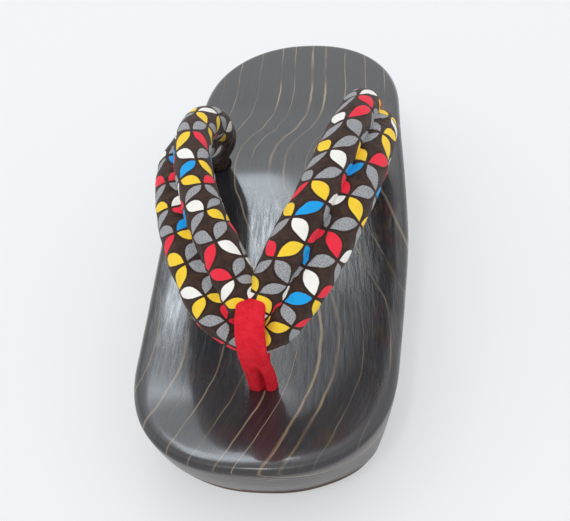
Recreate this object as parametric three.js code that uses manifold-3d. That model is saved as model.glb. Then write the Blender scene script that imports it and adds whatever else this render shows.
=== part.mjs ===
import * as THREE from "three";
import { mergeVertices } from "three/addons/utils/BufferGeometryUtils.js";
import Module from "manifold-3d";

// A low wooden geta sandal with a padded V strap and a red toe loop.
// Millimetres. Z is up, the toe points to -Y, the heel to +Y, and the origin is on the
// floor in the middle of the sandal.

const LENGTH = 240;
const RUBBER = 4;
const RIM_RADIUS = 2.6;
const FOOT_EDGE_RADIUS = 1.2;
const AROUND = 112;
const ACROSS = 10;
const TOE_ROUND = { length: 47, power: 2.45 };
const HEEL_ROUND = { length: 52, power: 2.2 };

// The outline between its round ends.
const SIDES = [
  { fromToe: 0, half: 43.8 },
  { fromToe: 40, half: 45.4 },
  { fromToe: 75, half: 47.3 },
  { fromToe: 107, half: 48.4 },
  { fromToe: 140, half: 46.9 },
  { fromToe: 175, half: 44.6 },
  { fromToe: 210, half: 43.2 },
  { fromToe: 240, half: 42.6 },
];

// The footbed along the middle: a low toe, a rise through the arch and a level heel.
const FOOTBED = [
  { fromToe: 0, height: 29.2, dish: 0.4 },
  { fromToe: 30, height: 28.6, dish: 0.8 },
  { fromToe: 70, height: 29.6, dish: 1.2 },
  { fromToe: 110, height: 33.6, dish: 1.0 },
  { fromToe: 150, height: 39.2, dish: 0.8 },
  { fromToe: 185, height: 42.4, dish: 1.2 },
  { fromToe: 215, height: 43.2, dish: 1.0 },
  { fromToe: 240, height: 43.6, dish: 0.4 },
];

// How far the wood's lower edge lies inside its rim.
const UNDERCUT = { toe: 9, side: 4, heel: 8 };

// The arch cut out underneath, across the whole width.
const ARCH = { front: -26, back: 46, height: 15, lean: 9 };

const RUBBER_INSET = 0.8;
const FRONT_HOLE = { y: -82, radius: 6 };
const REAR_HOLE = { x: 31.5, y: 27, radius: 5.6 };

// The arms of the strap, each two padded rolls side by side, from the middle of the
// joint over the instep to the rear hole. "out" is the distance from the middle plane,
// "facing" turns the pair from straight outwards towards the toe, "tilt" leans it down
// and "apart" is the distance between the rolls' centres. Tied by hand, the two arms
// differ a little at the back.
const RIGHT_ARM = [
  { out: -3.6, y: -82.8, z: 53.4, facing: 88, tilt: 62, apart: 7, radius: 5.4 },
  { out: 3, y: -82.4, z: 54.6, facing: 80, tilt: 60, apart: 7.6, radius: 5.6 },
  { out: 8.2, y: -78.2, z: 60.8, facing: 62, tilt: 52, apart: 9.6, radius: 6.5 },
  { out: 14, y: -69.8, z: 67.8, facing: 45, tilt: 46, apart: 11.4, radius: 6.8 },
  { out: 21.6, y: -54, z: 75, facing: 30, tilt: 42, apart: 12.2, radius: 6.8 },
  { out: 28, y: -34, z: 79, facing: 18, tilt: 42, apart: 12.6, radius: 6.8 },
  { out: 32.5, y: -14, z: 79, facing: 10, tilt: 40, apart: 12.4, radius: 6.8 },
  { out: 35.3, y: 4, z: 75, facing: 4, tilt: 36, apart: 12, radius: 6.7 },
  { out: 35.6, y: 17, z: 66, facing: 0, tilt: 34, apart: 10, radius: 6.5 },
  { out: 34, y: 24, z: 54, facing: 0, tilt: 40, apart: 6, radius: 6 },
  { out: 31.8, y: 26.8, z: 43, facing: 0, tilt: 40, apart: 2, radius: 4.6 },
  { out: 31.5, y: 27, z: 33, facing: 0, tilt: 40, apart: 1.4, radius: 4.2 },
  { out: 31.5, y: 27, z: 22, facing: 0, tilt: 40, apart: 1.4, radius: 4.2 },
];
const LEFT_ARM = [
  { out: -3.6, y: -82.8, z: 53.4, facing: 88, tilt: 62, apart: 7, radius: 5.4 },
  { out: 3, y: -82.4, z: 54.6, facing: 80, tilt: 60, apart: 7.6, radius: 5.6 },
  { out: 8.6, y: -78.6, z: 60, facing: 62, tilt: 52, apart: 10.6, radius: 6.7 },
  { out: 14.8, y: -69.8, z: 67.4, facing: 45, tilt: 46, apart: 12, radius: 7 },
  { out: 22.4, y: -54, z: 74.4, facing: 30, tilt: 44, apart: 12.5, radius: 6.9 },
  { out: 28, y: -34, z: 77.6, facing: 18, tilt: 47, apart: 12.4, radius: 6.8 },
  { out: 30.8, y: -15, z: 75.8, facing: 10, tilt: 54, apart: 11.6, radius: 6.8 },
  { out: 30, y: 0, z: 71.4, facing: 4, tilt: 66, apart: 9.6, radius: 6.8 },
  { out: 28.4, y: 11.4, z: 63.4, facing: 0, tilt: 68, apart: 7.4, radius: 6.5 },
  { out: 28.6, y: 19.6, z: 53.4, facing: 0, tilt: 50, apart: 4.8, radius: 5.9 },
  { out: 31, y: 26, z: 43, facing: 0, tilt: 40, apart: 2, radius: 4.6 },
  { out: 31.5, y: 27, z: 33, facing: 0, tilt: 40, apart: 1.4, radius: 4.2 },
  { out: 31.5, y: 27, z: 22, facing: 0, tilt: 40, apart: 1.4, radius: 4.2 },
];
const ARM_SLICES = 44;
const ROLL_SIDES = 9;
const JOINT_CORE = { x: 7.4, y: 6.4, z: 6.6, centreY: -82.4, centreZ: 54.4 };

// The toe loop's path in the middle plane, from one end up and over to the other.
const TOE_LOOP = [
  { y: -84.3, z: 14, width: 8, thick: 3.4 },
  { y: -84.6, z: 27, width: 8.4, thick: 3.6 },
  { y: -87, z: 36, width: 9.2, thick: 4 },
  { y: -89.8, z: 45, width: 9.4, thick: 4.2 },
  { y: -91.2, z: 53.6, width: 9.4, thick: 4.2 },
  { y: -89.2, z: 60.6, width: 9.4, thick: 4.2 },
  { y: -83.6, z: 63.6, width: 9.4, thick: 4.2 },
  { y: -77.2, z: 61.4, width: 9.4, thick: 4.2 },
  { y: -74.6, z: 54, width: 9.4, thick: 4.2 },
  { y: -75.6, z: 45, width: 9.2, thick: 4.2 },
  { y: -77.8, z: 36, width: 9, thick: 3.8 },
  { y: -79.4, z: 27, width: 8.4, thick: 3.6 },
  { y: -79.7, z: 14, width: 8, thick: 3.4 },
];
const LOOP_SIDES = 12;
// Cloth gives way under the loop and around the pieces it meets.
const CLEARANCE = 0.3;

const wasm = await Module();
wasm.setup();

// A value read along a table with a smooth curve through its rows.
function along(table, key, column, at) {
  const last = table.length - 1;
  let i = 0;
  while (i < last - 1 && at > table[i + 1][key]) i += 1;
  const a = table[i];
  const b = table[i + 1];
  const before = table[Math.max(i - 1, 0)];
  const after = table[Math.min(i + 2, last)];
  const step = b[key] - a[key];
  const u = THREE.MathUtils.clamp((at - a[key]) / step, 0, 1);
  const slopeA = ((b[column] - before[column]) / (b[key] - before[key])) * step;
  const slopeB = ((after[column] - a[column]) / (after[key] - a[key])) * step;
  const u2 = u * u;
  const u3 = u2 * u;
  return (
    (2 * u3 - 3 * u2 + 1) * a[column] +
    (u3 - 2 * u2 + u) * slopeA +
    (3 * u2 - 2 * u3) * b[column] +
    (u3 - u2) * slopeB
  );
}

function roundedEnd(distance, end) {
  const u = THREE.MathUtils.clamp(1 - distance / end.length, 0, 1);
  return Math.pow(1 - Math.pow(u, end.power), 1 / end.power);
}

function halfWidth(y) {
  const fromToe = y + LENGTH / 2;
  return (
    along(SIDES, "fromToe", "half", fromToe) *
    roundedEnd(fromToe, TOE_ROUND) *
    roundedEnd(LENGTH - fromToe, HEEL_ROUND)
  );
}

function footbed(x, y) {
  const fromToe = y + LENGTH / 2;
  const dish = along(FOOTBED, "fromToe", "dish", fromToe);
  const side = Math.min(Math.abs(x) / 40, 1);
  return along(FOOTBED, "fromToe", "height", fromToe) - dish * (1 - side * side);
}

// The plan of the rim as evenly spaced points with their inward normals. Point i and
// point AROUND - i mirror each other, and point 0 is the toe's tip.
function planOutline() {
  const side = [];
  for (let i = 0; i <= 200; i += 1) {
    const y = (-LENGTH / 2) * Math.cos((Math.PI * i) / 200);
    side.push(new THREE.Vector3(i % 200 === 0 ? 0 : halfWidth(y), y, 0));
  }
  const curve = new THREE.CatmullRomCurve3(side);
  curve.arcLengthDivisions = 2000;
  const half = curve.getSpacedPoints(AROUND / 2);
  const points = [];
  for (let i = 0; i < AROUND; i += 1) {
    const mirrored = i > AROUND / 2;
    const p = half[mirrored ? AROUND - i : i];
    points.push(new THREE.Vector2(mirrored ? -p.x : p.x, p.y));
  }
  return points.map((p, i) => {
    const before = points[(i + AROUND - 1) % AROUND];
    const after = points[(i + 1) % AROUND];
    const run = after.clone().sub(before).normalize();
    return { x: p.x, y: p.y, inX: -run.y, inY: run.x };
  });
}

const OUTLINE = planOutline();

// The undercut changes smoothly from the toe over the sides to the heel.
function undercut(y) {
  const v = y / (LENGTH / 2);
  const end = v < 0 ? UNDERCUT.toe : UNDERCUT.heel;
  const share = THREE.MathUtils.smoothstep(Math.abs(v), 0.78, 1);
  return THREE.MathUtils.lerp(UNDERCUT.side, end, share);
}

function inset(point, distance) {
  return { x: point.x + point.inX * distance, y: point.y + point.inY * distance };
}

function solidFrom(geometry) {
  geometry.deleteAttribute("normal");
  geometry.deleteAttribute("uv");
  const merged = mergeVertices(geometry, 1e-4);
  return new wasm.Manifold(
    new wasm.Mesh({
      numProp: 3,
      vertProperties: new Float32Array(merged.attributes.position.array),
      triVerts: new Uint32Array(merged.index.array),
    }),
  );
}

function geometryFrom(solid) {
  const mesh = solid.getMesh();
  const geometry = new THREE.BufferGeometry();
  const positions = new Float32Array(mesh.vertProperties);
  geometry.setAttribute("position", new THREE.BufferAttribute(positions, 3));
  geometry.setIndex(new THREE.BufferAttribute(new Uint32Array(mesh.triVerts), 1));
  geometry.computeVertexNormals();
  return geometry;
}

// Triangles between rings of equally many points, each ring a list of [x, y, z].
function joinRings(rings) {
  const positions = rings.flat(2);
  const count = rings[0].length;
  const index = [];
  for (let r = 0; r + 1 < rings.length; r += 1) {
    for (let i = 0; i < count; i += 1) {
      const a = r * count + i;
      const b = r * count + ((i + 1) % count);
      index.push(a, b, b + count, a, b + count, a + count);
    }
  }
  return { positions, index };
}

// A level or gently curved cap inside a ring of the plan, in rows from side to side.
function capRows(shape, ring, heightAt, facingUp) {
  const rows = [];
  const half = AROUND / 2;
  for (let i = 0; i <= half; i += 1) {
    const right = ring[i];
    const left = ring[(AROUND - i) % AROUND];
    const tip = i === 0 || i === half;
    const row = [];
    for (let k = 0; k <= ACROSS; k += 1) {
      const u = k / ACROSS;
      const x = tip ? right[0] : THREE.MathUtils.lerp(left[0], right[0], u);
      const edge = k === 0 || k === ACROSS || tip;
      row.push([x, right[1], edge ? right[2] : heightAt(x, right[1])]);
    }
    rows.push(row);
  }
  const start = shape.positions.length / 3;
  const width = ACROSS + 1;
  shape.positions.push(...rows.flat(2));
  for (let i = 0; i < half; i += 1) {
    for (let k = 0; k < ACROSS; k += 1) {
      const a = start + i * width + k;
      const b = a + 1;
      const c = b + width;
      const d = a + width;
      if (facingUp) shape.index.push(a, b, c, a, c, d);
      else shape.index.push(a, c, b, a, d, c);
    }
  }
}

function closedGeometry(shape) {
  const geometry = new THREE.BufferGeometry();
  const positions = new Float32Array(shape.positions);
  geometry.setAttribute("position", new THREE.BufferAttribute(positions, 3));
  geometry.setIndex(shape.index);
  return dropSlivers(mergeVertices(geometry, 1e-4));
}

// Leaves out the triangles that fold to nothing where a ring runs into a tip.
function dropSlivers(geometry) {
  const kept = [];
  const index = geometry.index.array;
  for (let i = 0; i < index.length; i += 3) {
    const [a, b, c] = [index[i], index[i + 1], index[i + 2]];
    if (a !== b && b !== c && c !== a) kept.push(a, b, c);
  }
  geometry.setIndex(kept);
  return geometry;
}

// A straight cutter: a round bar that stands upright at (x, y).
function uprightBar(x, y, radius, low, high) {
  const bar = new THREE.CylinderGeometry(radius, radius, high - low, 28);
  bar.rotateX(Math.PI / 2);
  bar.translate(x, y, (low + high) / 2);
  return solidFrom(bar);
}

// The arch's cutter: its profile along the sandal, pushed out to both sides.
function archCutter() {
  const { front, back, height, lean } = ARCH;
  const top = RUBBER + height;
  const [rise, crown] = [front + lean * 0.7, front + lean * 1.3];
  const [fall, foot] = [back - lean, back - lean * 0.5];
  const profile = new THREE.Shape();
  profile.moveTo(front - 3, -5);
  profile.lineTo(front, RUBBER);
  profile.bezierCurveTo(rise, top - 2, crown, top, front + lean * 3, top);
  profile.lineTo(back - lean * 2.6, top);
  profile.bezierCurveTo(fall, top, foot, top - 3, back, RUBBER);
  profile.lineTo(back + 3, -5);
  profile.closePath();
  const cutter = new THREE.ExtrudeGeometry(profile, {
    depth: LENGTH,
    bevelEnabled: false,
    curveSegments: 8,
  });
  cutter.translate(0, 0, -LENGTH / 2);
  cutter.applyMatrix4(
    new THREE.Matrix4().makeBasis(
      new THREE.Vector3(0, 1, 0),
      new THREE.Vector3(0, 0, 1),
      new THREE.Vector3(1, 0, 0),
    ),
  );
  return solidFrom(cutter);
}

function makePlatform() {
  const low = RUBBER + FOOT_EDGE_RADIUS;
  const foot = (p, extra, z) => {
    const q = inset(p, undercut(p.y) + extra);
    return [q.x, q.y, z];
  };
  const middle = (p) => {
    const q = inset(p, undercut(p.y) * 0.46);
    const high = footbed(p.x, p.y) - RIM_RADIUS;
    return [q.x, q.y, THREE.MathUtils.lerp(low, high, 0.52)];
  };
  const rings = [
    OUTLINE.map((p) => foot(p, FOOT_EDGE_RADIUS, RUBBER)),
    OUTLINE.map((p) => foot(p, 0, low)),
    OUTLINE.map(middle),
  ];
  for (const turn of [0, 24, 48, 70, 90]) {
    const angle = THREE.MathUtils.degToRad(turn);
    const inward = RIM_RADIUS * (1 - Math.cos(angle));
    const drop = RIM_RADIUS * (1 - Math.sin(angle));
    rings.push(
      OUTLINE.map((p) => {
        const q = inset(p, inward);
        return [q.x, q.y, footbed(q.x, q.y) - drop];
      }),
    );
  }
  rings.push(
    OUTLINE.map((p) => {
      const q = inset(p, RIM_RADIUS * 2.4);
      return [q.x, q.y, footbed(q.x, q.y)];
    }),
  );
  const shape = joinRings(rings);
  capRows(shape, rings[rings.length - 1], footbed, true);
  capRows(shape, rings[0], () => RUBBER, false);
  let wood = solidFrom(closedGeometry(shape));
  wood = wood.subtract(archCutter());
  wood = wood.subtract(uprightBar(0, FRONT_HOLE.y, FRONT_HOLE.radius, -5, 80));
  for (const side of [-1, 1]) {
    wood = wood.subtract(
      uprightBar(side * REAR_HOLE.x, REAR_HOLE.y, REAR_HOLE.radius, -5, 80),
    );
  }
  return geometryFrom(wood);
}

// A rubber sole follows the wood's lower edge between two cuts across the sandal.
function makeRubber(from, to) {
  const edge = (p, z, extra) => {
    const q = inset(p, undercut(p.y) + FOOT_EDGE_RADIUS + extra);
    return [q.x, q.y, z];
  };
  const rings = [
    OUTLINE.map((p) => edge(p, 0, RUBBER_INSET + 0.8)),
    OUTLINE.map((p) => edge(p, 0.8, RUBBER_INSET)),
    OUTLINE.map((p) => edge(p, RUBBER, RUBBER_INSET)),
  ];
  const shape = joinRings(rings);
  capRows(shape, rings[2], () => RUBBER, true);
  capRows(shape, rings[0], () => 0, false);
  const whole = solidFrom(closedGeometry(shape));
  const box = new THREE.BoxGeometry(LENGTH, to - from, RUBBER * 4);
  box.translate(0, (from + to) / 2, 0);
  return geometryFrom(whole.intersect(solidFrom(box)));
}

// The section of an arm: two round rolls side by side that meet in a crease, as offsets
// along the pair and out of it.
function armSection(row) {
  const points = [];
  const reach = row.apart / 2;
  const meet = Math.acos(Math.min(reach / row.radius, 0.98));
  for (const side of [1, -1]) {
    for (let i = 0; i <= ROLL_SIDES; i += 1) {
      const share = i / ROLL_SIDES;
      const angle = THREE.MathUtils.lerp(-Math.PI + meet, Math.PI - meet, share);
      const turned = side > 0 ? angle : angle + Math.PI;
      points.push([
        side * reach + row.radius * Math.cos(turned),
        row.radius * Math.sin(turned),
      ]);
    }
  }
  return points;
}

// A table's row at a share of its length, the given rows being evenly spaced.
function rowAt(table, share) {
  const keyed = table.map((row, i) => ({ ...row, key: i / (table.length - 1) }));
  const row = {};
  for (const column of Object.keys(table[0])) {
    row[column] = along(keyed, "key", column, share);
  }
  return row;
}

// A fan over the first and over the last ring of a tube.
function closeEnds(shape, rings) {
  const count = rings[0].length;
  for (const last of [false, true]) {
    const ring = last ? rings.length - 1 : 0;
    const middle = shape.positions.length / 3;
    const sum = rings[ring].reduce((s, p) => s.map((value, k) => value + p[k]));
    shape.positions.push(...sum.map((value) => value / count));
    for (let i = 0; i < count; i += 1) {
      const a = ring * count + i;
      const b = ring * count + ((i + 1) % count);
      if (last) shape.index.push(a, b, middle);
      else shape.index.push(b, a, middle);
    }
  }
}

function makeArm(table, side) {
  const rings = [];
  for (let i = 0; i <= ARM_SLICES; i += 1) {
    const share = i / ARM_SLICES;
    const row = rowAt(table, share);
    const ahead = rowAt(table, Math.min(share + 0.01, 1));
    const behind = rowAt(table, Math.max(share - 0.01, 0));
    const run = new THREE.Vector3(ahead.out, ahead.y, ahead.z);
    run.sub(new THREE.Vector3(behind.out, behind.y, behind.z)).normalize();
    const turn = THREE.MathUtils.degToRad(row.facing);
    const lean = THREE.MathUtils.degToRad(row.tilt);
    const pair = new THREE.Vector3(
      Math.cos(turn) * Math.cos(lean),
      -Math.sin(turn) * Math.cos(lean),
      -Math.sin(lean),
    );
    pair.addScaledVector(run, -pair.dot(run)).normalize();
    const outwards = new THREE.Vector3().crossVectors(pair, run);
    const ring = armSection(row).map(([u, v]) => {
      const p = new THREE.Vector3(row.out, row.y, row.z);
      p.addScaledVector(pair, u).addScaledVector(outwards, v);
      return [side * p.x, p.y, p.z];
    });
    rings.push(side > 0 ? ring.reverse() : ring);
  }
  const shape = joinRings(rings);
  closeEnds(shape, rings);
  return solidFrom(closedGeometry(shape));
}

// The two arms grow together at a padded core under the loop.
function makeStrap() {
  const core = new THREE.SphereGeometry(1, 20, 12);
  core.scale(JOINT_CORE.x, JOINT_CORE.y, JOINT_CORE.z);
  core.translate(0, JOINT_CORE.centreY, JOINT_CORE.centreZ);
  const arms = makeArm(RIGHT_ARM, 1).add(makeArm(LEFT_ARM, -1));
  const joined = arms.add(solidFrom(core));
  return geometryFrom(joined.subtract(toeLoopSolid(CLEARANCE)));
}

function flattened(value, power) {
  return Math.sign(value) * Math.pow(Math.abs(value), power);
}

// The loop, grown all round by a margin.
function toeLoopSolid(margin) {
  const path = new THREE.CatmullRomCurve3(
    TOE_LOOP.map((row) => new THREE.Vector3(0, row.y, row.z)),
  );
  const steps = (TOE_LOOP.length - 1) * 3;
  const rings = [];
  for (let i = 0; i <= steps; i += 1) {
    const share = i / steps;
    const row = rowAt(TOE_LOOP, share);
    const centre = path.getPoint(share);
    const run = path.getTangent(share);
    const ring = [];
    for (let k = 0; k < LOOP_SIDES; k += 1) {
      const angle = (2 * Math.PI * (k + 0.5)) / LOOP_SIDES;
      const u = (row.width / 2 + margin) * flattened(Math.cos(angle), 0.55);
      const v = (row.thick / 2 + margin) * flattened(Math.sin(angle), 0.75);
      ring.push([u, centre.y + run.z * v, centre.z - run.y * v]);
    }
    rings.push(ring);
  }
  const shape = joinRings(rings);
  closeEnds(shape, rings);
  return solidFrom(closedGeometry(shape));
}

function piece(name, geometry, color, roughness) {
  const material = new THREE.MeshStandardMaterial({ color, roughness, metalness: 0 });
  const mesh = new THREE.Mesh(geometry, material);
  mesh.name = name;
  return mesh;
}

const sandal = new THREE.Group();
sandal.add(
  piece("platform", makePlatform(), 0x2b2a2b, 0.3),
  piece("strap", makeStrap(), 0x3e302d, 0.9),
  piece("toe_loop", geometryFrom(toeLoopSolid(0)), 0xd2222f, 0.95),
  piece("forefoot_rubber", makeRubber(-LENGTH / 2, ARCH.front - 1), 0x4a3c36, 0.8),
  piece("heel_rubber", makeRubber(ARCH.back + 1, LENGTH / 2), 0x4a3c36, 0.8),
);

export default sandal;
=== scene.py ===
import math

import bmesh
import bpy
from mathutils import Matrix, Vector, noise


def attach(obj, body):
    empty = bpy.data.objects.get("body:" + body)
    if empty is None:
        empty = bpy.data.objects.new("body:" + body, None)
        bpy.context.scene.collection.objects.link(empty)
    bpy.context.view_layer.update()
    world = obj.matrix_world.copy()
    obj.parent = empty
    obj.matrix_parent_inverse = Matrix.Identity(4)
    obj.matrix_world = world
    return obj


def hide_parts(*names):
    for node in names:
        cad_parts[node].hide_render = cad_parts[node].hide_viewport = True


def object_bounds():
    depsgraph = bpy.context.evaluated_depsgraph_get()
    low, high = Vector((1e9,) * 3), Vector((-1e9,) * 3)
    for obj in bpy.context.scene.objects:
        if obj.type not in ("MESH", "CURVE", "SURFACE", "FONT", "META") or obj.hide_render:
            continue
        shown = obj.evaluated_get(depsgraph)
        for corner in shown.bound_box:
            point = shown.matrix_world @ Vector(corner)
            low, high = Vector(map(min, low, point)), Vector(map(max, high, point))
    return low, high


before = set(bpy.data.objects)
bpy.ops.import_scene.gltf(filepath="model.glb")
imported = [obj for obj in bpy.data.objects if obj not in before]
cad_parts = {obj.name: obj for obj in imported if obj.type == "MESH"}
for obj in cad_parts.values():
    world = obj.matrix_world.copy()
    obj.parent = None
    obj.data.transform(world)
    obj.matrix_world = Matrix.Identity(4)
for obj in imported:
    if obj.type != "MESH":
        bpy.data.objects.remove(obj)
cad_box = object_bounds()

bl_info = {
    "name": "Geta Sandal",
    "version": (1, 0, 0),
    "blender": (4, 5, 0),
    "location": "3D View > Sidebar > Geta",
    "description": "Builds a low lacquered geta with a padded cotton strap",
    "category": "Add Mesh",
}

MM = 0.001


def table_of(names, *rows):
    """A table's rows, each by its columns' names."""
    return tuple(dict(zip(names.split(), row)) for row in rows)


# --------------------------------------------------------------- sizes, in millimetres

SIDES = table_of(
    "from_toe half",
    (0, 43.8),
    (40, 45.4),
    (75, 47.3),
    (107, 48.4),
    (140, 46.9),
    (175, 44.6),
    (210, 43.2),
    (240, 42.6),
)
FOOTBED = table_of(
    "from_toe height dish",
    (0, 29.2, 0.4),
    (30, 28.6, 0.8),
    (70, 29.6, 1.2),
    (110, 33.6, 1.0),
    (150, 39.2, 0.8),
    (185, 42.4, 1.2),
    (215, 43.2, 1.0),
    (240, 43.6, 0.4),
)
TOE_ROUND = {"length": 47, "power": 2.45}
HEEL_ROUND = {"length": 52, "power": 2.2}
UNDERCUT = {"toe": 9, "side": 4, "heel": 8, "grows_from": 0.78}
DISH_HALF = 40
# Half the line down the middle of the footbed, on which the footbed's rings close.
SPINE_HALF = 72
FOOT_EDGE = 1.2
ARCH = {"front": -26, "back": 46, "height": 15, "lean": 9}
RUBBER_INSET = 0.8
# How far the rubber soles end before the arch.
RUBBER_SHORT = 1.0
FRONT_HOLE = {"x": 0, "y": -82.6, "radius": 4.7}
REAR_HOLE = {"x": 31.5, "y": 27, "radius": 5.6}
STATIONS = 288
# How far in the rubber's rounded lower edge lies, and how high.
RUBBER_EDGE = ((0.8, 0.0), (0.25, 0.25), (0.0, 0.8))

RIGHT_ARM = table_of(
    "out y z facing tilt apart radius",
    (-3.6, -82.8, 53.4, 88, 62, 7, 5.4),
    (3, -82.4, 54.6, 80, 60, 7.6, 5.6),
    (8.2, -78.2, 60.8, 62, 52, 9.6, 6.5),
    (14, -69.8, 67.8, 45, 46, 11.4, 6.8),
    (21.6, -54, 75, 30, 42, 12.2, 6.8),
    (28, -34, 79, 18, 42, 12.6, 6.8),
    (32.1, -14, 79, 10, 46, 12.0, 6.7),
    (34.2, 4, 75, 4, 55, 10.6, 6.6),
    (33.8, 17, 66, 0, 60, 7.6, 6.3),
    (34, 24, 54, 0, 50, 4.6, 5.2),
    (31.8, 26.8, 43, 0, 40, 1.8, 3.7),
    (31.5, 27, 33, 0, 40, 1.4, 3.5),
    (31.5, 27, 22, 0, 40, 1.4, 3.5),
)
LEFT_ARM = table_of(
    "out y z facing tilt apart radius",
    (-3.6, -82.8, 53.4, 88, 62, 7, 5.4),
    (3, -82.4, 54.6, 80, 60, 7.6, 5.6),
    (8.6, -78.6, 60, 62, 52, 10.6, 6.7),
    (14.8, -69.8, 67.4, 45, 46, 12, 7),
    (22.9, -54, 74.4, 30, 44, 11.9, 6.7),
    (28.6, -34, 77.6, 18, 47, 11.6, 6.5),
    (31.0, -15, 75.8, 10, 54, 11.0, 6.5),
    (30, 0, 71.4, 4, 66, 9.2, 6.6),
    (28.4, 11.4, 63.4, 0, 68, 7.4, 6.5),
    (28.6, 19.6, 53.4, 0, 50, 4.4, 5.2),
    (31, 26, 43, 0, 40, 1.8, 3.7),
    (31.5, 27, 33, 0, 40, 1.4, 3.5),
    (31.5, 27, 22, 0, 40, 1.4, 3.5),
)
ARM_SLICES = 300
ROLL_SIDES = 40
# The radius at which the cloth is measured around a roll.
CLOTH_ROUND = 6.8
# How far the gathers reach from the crease, the folds from the loop and from the holes,
# and how deep the folds and the uneven stuffing are.
GATHERS = {"reach": 2.6, "apart": 1.25, "depth": 0.6, "sunk": 0.2}
LOOP_FOLDS = {"start": 6, "reach": 10, "depth": 0.8}
NECK_FOLDS = {"start": 52, "full": 30, "depth": 0.38, "count": 8}
STUFFING = {"broad": 0.4, "fine": 0.16}

# The printed cloth is a net of square cells with one petal across each. These tables
# say how it lies on the arms: the cell reached along an arm, and where the row of
# cells that dips into the crease begins and ends on the inner and the outer roll.
RIGHT_CLOTH = table_of(
    "run cell inner outer lean",
    (0, -4.8, -0.5, 0.3, 0.3),
    (15.8, -1.2, -0.8, 0.6, 0.3),
    (22.2, 0, -1.3, 0.8, 0.35),
    (28.5, 1, -2.8, 1.1, 0.4),
    (35, 2, -4.1, 1.6, 0.35),
    (49.2, 4, -5.0, 2.8, 0.45),
    (63, 6, -4.7, 4.0, 0.55),
    (80, 8, -4.5, 4.6, 0.8),
    (98.5, 10, -5.0, 4.7, 0.9),
    (127.5, 14, -5.0, 4.7, 0.9),
    (185, 22, -5.0, 4.7, 0.9),
)
LEFT_CLOTH = table_of(
    "run cell inner outer lean",
    (0, -6.0, -0.5, 0.8, 0),
    (14, -2.4, -1.2, 2.7, 0),
    (25.5, 0, -2.0, 4.2, 0),
    (37.8, 2, -2.6, 4.6, 0),
    (47.4, 4, -5.7, 4.2, 0),
    (57.6, 6, -6.7, 3.9, 0),
    (70.7, 8, -6.5, 3.8, 0),
    (88.3, 10, -5.0, 4.0, 0),
    (104, 12, -5.0, 4.0, 0),
    (185, 23.5, -5.0, 4.0, 0),
)
CELL_ROWS = {"inner": 8.0, "far": 6.6, "outer": 8.4}
PETAL = {"round": 0.5, "flat": 0.34, "reach": 0.85}
# The size of a cell as printed, the first cell that shows beside the loop, where the left arm
# starts in the repeat, and where the petals fade out near the holes as painted shade.
CELL = {"along": 7.1, "across": 7.8, "first": -3.0, "left_from": 9}
SHADED_END = {"from": 15.5, "to": 17.5, "left_sooner": 2.6}
THREAD = 0.45
INKS = ("grey", "red", "yellow", "white", "blue")
# The print's repeat, the first letter of each petal's ink.
PRINT_REPEAT = (
    "grgyrggygwggwy",
    "gywbygwggrrwyg",
    "gbrgwrbygggyrw",
    "wgrgyggryywygb",
    "rgwgygbrwgygry",
    "ygbgrwgyrgwgyg",
)

TOE_LOOP = table_of(
    "x y z width thick",
    (0.3, -84.2, 14, 8.6, 4.6),
    (0.5, -85.0, 27, 9.6, 5.0),
    (0.5, -86.8, 36, 9.6, 5.0),
    (0, -89.6, 45, 9.2, 4.6),
    (0, -91.2, 53.6, 9.4, 4.2),
    (0, -89.2, 60.6, 9.4, 4.2),
    (0, -83.6, 63.6, 9.4, 4.2),
    (0, -77.2, 61.4, 9.4, 4.2),
    (0, -74.8, 54, 9.2, 4.2),
    (-0.3, -76.6, 45, 8.4, 4.4),
    (-0.7, -81.0, 36, 7.6, 5.0),
    (-0.6, -80.8, 27, 7.4, 5.0),
    (-0.3, -80.0, 14, 7.4, 4.6),
)
LOOP_SLICES = 260
LOOP_SIDES = 112
# The powers that make the loop's section a flat oval, and the crease low on its front.
LOOP_SQUARE = {"across": 0.62, "through": 0.75}
LOOP_CREASE = {"x": 0.4, "half": 0.85, "full": 0.13, "gone": 0.29}

# The wood's pale lines: where each one crosses the footbed, measured across from the
# wave that they all follow, how wide it is and how much it shows.
GRAIN_LINES = table_of(
    "place width shows",
    (-47.4, 1.5, 0.55),
    (-41.0, 0.35, 0.3),
    (-34.2, 0.75, 0.7),
    (-24.6, 0.65, 0.8),
    (-14.5, 0.9, 0.95),
    (-8.2, 0.5, 0.8),
    (0.2, 1.5, 1.0),
    (6.4, 1.45, 1.0),
    (15.4, 0.55, 0.85),
    (24.7, 0.7, 0.8),
    (33.2, 0.65, 0.7),
)
GRAIN_REPEAT = {"from": -52, "length": 92}
# The wave, as sideways places along the sandal.
GRAIN_WAVE = table_of(
    "y x",
    (-120, 3),
    (-115.5, 5.5),
    (-100, 11.9),
    (-88, 15.8),
    (-73, 18.2),
    (-52, 17.0),
    (-36, 11.5),
    (-20, 4.5),
    (-4.3, -1.4),
    (4.8, -4.5),
    (17.3, -9.0),
    (27.3, -10.0),
    (35, -9.0),
    (42.9, -5.9),
    (52.8, 0.5),
    (69.5, 4.1),
    (95, 3.2),
    (120, 2),
)

CAMERA = {"place": (0.0481, -0.2801, 0.2595), "turn": (48.334, 4.861, 5.995)}
SURROUNDINGS = {"colour": (0.97, 0.985, 1.0, 1.0), "strength": 0.93}
# Where each light stands and points, in metres, its two sides, power and tint.
LIGHTS = table_of(
    "name place aim wide tall power tint",
    ("window_light", (-0.265, 0.745, 1.11), (0, -0.02, 0.03), 0.2, 0.1, 0.68, (0.82, 0.92, 1)),
    ("wall_panel", (-0.12, 0.86, 0.98), (0, -0.05, 0.03), 0.6, 0.45, 0.32, (0.94, 0.97, 1)),
    ("ceiling_light", (-0.12, -0.55, 0.9), (0, -0.05, 0.03), 0.12, 0.12, 1.2, (1, 0.98, 0.96)),
)

# --------------------------------------------------------------------- plain functions


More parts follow.
